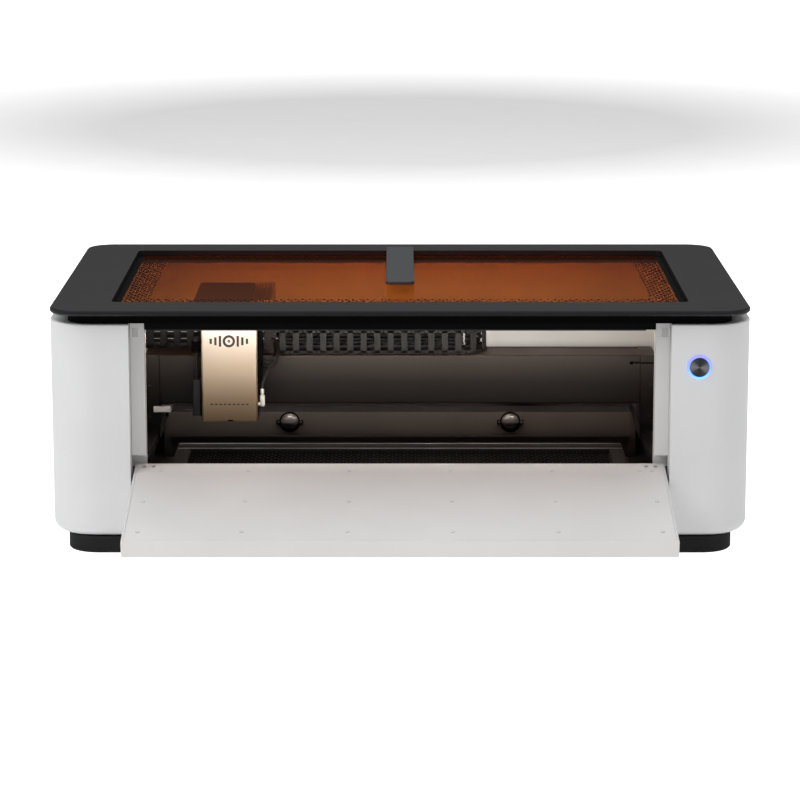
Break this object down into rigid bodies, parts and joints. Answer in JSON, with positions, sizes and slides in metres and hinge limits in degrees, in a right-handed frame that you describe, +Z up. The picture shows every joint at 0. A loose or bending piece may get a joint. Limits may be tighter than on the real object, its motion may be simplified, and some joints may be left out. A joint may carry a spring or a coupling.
{
  "type": "desktop laser cutter",
  "caption": "Enclosed desktop laser cutter with an amber-windowed lid, camera arm, drop-down front door and a belt-driven gantry carrying a laser module.",
  "frame": {"origin": "on the table under the middle of the machine's box, with the front door open", "axes": "+X to the user's right, +Y to the back, +Z up"},
  "size_m": [0.767, 0.6479, 0.2785],
  "materials": {
    "white_shell": "satin white moulded plastic",
    "white_metal": "fine satin white powder coat",
    "chamber_light": "warm light grey paint",
    "black_lid": "black anodised, satin",
    "black_plastic": "matte black",
    "dark_sheet": "dark powder coat",
    "amber_glass": "amber laser-filter pane",
    "arm_grey": "dark grey anodised",
    "steel": "bright steel",
    "button_metal": "radially brushed",
    "ring_light": "glowing blue light guide",
    "screw_white": "painted screw heads",
    "catch_metal": "dull plate",
    "rubber_black": "moulded rubber",
    "rail_black": "black anodised extrusion",
    "beam_dark": "smooth dark anodised",
    "motor_black": "black motor case",
    "pulley_alloy": "machined",
    "chain_plastic": "moulded nylon",
    "champagne": "champagne gold, fine brushed",
    "heat_sink_metal": "bare fins",
    "probe_grey": "dark anodised",
    "elbow_white": "white nylon",
    "lens_cover": "smoked dome",
    "supply_metal": "folded steel case",
    "board_green": "circuit board",
    "led_white": "light strip cover"
  },
  "bodies": {
    "chassis": {"base_pan": "dark_sheet", "side_cover_left": "white_shell", "side_cover_right": "white_shell", "front_fascia": "white_shell", "rear_cover": "white_shell", "chamber_walls": "chamber_light", "top_frame": "black_plastic", "door_jambs": "white_metal", "catch_plates": "catch_metal", "feet": "rubber_black", "led_strip": "led_white", "button_barrel": "ring_light", "rear_sockets": "black_plastic", "power_supply": "supply_metal", "control_board": "board_green", "exhaust_fan_frame": "black_plastic", "exhaust_port": "black_plastic", "lid_hinge_bases": "steel", "bed_frame": "dark_sheet", "bed_slats": "dark_sheet", "rear_duct": "dark_sheet", "sensor_domes": "lens_cover", "y_rails": "rail_black", "rail_posts": "dark_sheet", "y_belts": "rubber_black", "y_motor": "motor_black"},
    "lid": {"lid_frame": "black_lid", "lid_glass": "amber_glass", "lid_skirt": "black_plastic", "lid_hinge_leaves": "steel", "camera_bracket": "arm_grey"},
    "camera_arm": {"camera_arm": "arm_grey"},
    "door": {"door_outer": "white_metal", "door_inner": "white_metal", "door_screws": "screw_white", "door_pins": "steel"},
    "power_button": {"power_button": "button_metal"},
    "exhaust_fan": {"exhaust_fan_rotor": "black_plastic"},
    "y_cross_shaft": {"y_cross_shaft": "steel"},
    "y_idlers": {"y_idlers": "pulley_alloy"},
    "gantry": {"gantry_beam": "beam_dark", "gantry_ends": "beam_dark", "y_blocks": "steel", "x_rail": "steel", "x_belt": "rubber_black", "x_motor": "motor_black", "chain_rear_run": "chain_plastic"},
    "x_idler": {"x_idler_pulley": "pulley_alloy"},
    "x_drive": {"x_drive_pulley": "pulley_alloy"},
    "chain_bend": {"chain_bend": "chain_plastic"},
    "carriage": {"laser_cover": "champagne", "laser_body": "black_plastic", "carriage_plate": "beam_dark", "x_block": "steel", "carriage_hood": "beam_dark", "heat_sink": "heat_sink_metal", "air_elbow": "elbow_white", "carriage_lines": "rubber_black", "chain_front_run": "chain_plastic"},
    "focus_probe": {"focus_probe": "probe_grey"}
  },
  "joints": [
    {"name": "lid_hinge", "type": "hinge", "parent": "chassis", "child": "lid", "pos_m": [0, 0.304, 0.261], "axis": [-1, 0, 0], "range_deg": [0, 65]},
    {"name": "camera_arm_hinge", "type": "hinge", "parent": "lid", "child": "camera_arm", "pos_m": [0, 0.2535, 0.2715], "axis": [-1, 0, 0], "range_deg": [0, 75]},
    {"name": "door_hinge", "type": "hinge", "parent": "chassis", "child": "door", "pos_m": [0, -0.1491, 0.0771], "axis": [-1, 0, 0], "range_deg": [0, 101.1]},
    {"name": "power_button_press", "type": "slide", "parent": "chassis", "child": "power_button", "axis": [0, 1, 0], "range_m": [0, 0.0013], "stiffness_N_per_m": 700, "springref_m": -0.0006},
    {"name": "exhaust_fan_spin", "type": "hinge", "parent": "chassis", "child": "exhaust_fan", "pos_m": [0.15, 0.28, 0.12], "axis": [0, 1, 0], "continuous": true},
    {"name": "y_slide", "type": "slide", "parent": "chassis", "child": "gantry", "axis": [0, 1, 0], "range_m": [-0.088, 0.08]},
    {"name": "y_cross_shaft_spin", "type": "hinge", "parent": "chassis", "child": "y_cross_shaft", "pos_m": [0, 0.274, 0.0873], "axis": [1, 0, 0], "range_deg": [-665, 730]},
    {"name": "y_idlers_spin", "type": "hinge", "parent": "chassis", "child": "y_idlers", "pos_m": [0, -0.104, 0.0873], "axis": [1, 0, 0], "range_deg": [-665, 730]},
    {"name": "x_slide", "type": "slide", "parent": "gantry", "child": "carriage", "axis": [1, 0, 0], "range_m": [-0.045, 0.415], "deforming": ["chain_front_run", "chain_rear_run"]},
    {"name": "chain_bend_slide", "type": "slide", "parent": "gantry", "child": "chain_bend", "axis": [1, 0, 0], "range_m": [-0.024, 0.209]},
    {"name": "x_idler_spin", "type": "hinge", "parent": "gantry", "child": "x_idler", "pos_m": [-0.268, 0.094, 0.169], "axis": [0, 1, 0], "range_deg": [-3407, 378]},
    {"name": "x_drive_spin", "type": "hinge", "parent": "gantry", "child": "x_drive", "pos_m": [0.268, 0.094, 0.169], "axis": [0, 1, 0], "range_deg": [-3407, 378]},
    {"name": "focus_probe_slide", "type": "slide", "parent": "carriage", "child": "focus_probe", "axis": [0, 0, 1], "range_m": [0, 0.006], "stiffness_N_per_m": 60, "springref_m": -0.006}
  ],
  "couplings": [
    {"joint": "y_cross_shaft_spin", "follows": "y_slide", "rad_per_m": -142.86},
    {"joint": "y_idlers_spin", "follows": "y_slide", "rad_per_m": -142.86},
    {"joint": "chain_bend_slide", "follows": "x_slide", "ratio": 0.5},
    {"joint": "x_idler_spin", "follows": "x_slide", "rad_per_m": -142.86},
    {"joint": "x_drive_spin", "follows": "x_slide", "rad_per_m": -142.86}
  ]
}
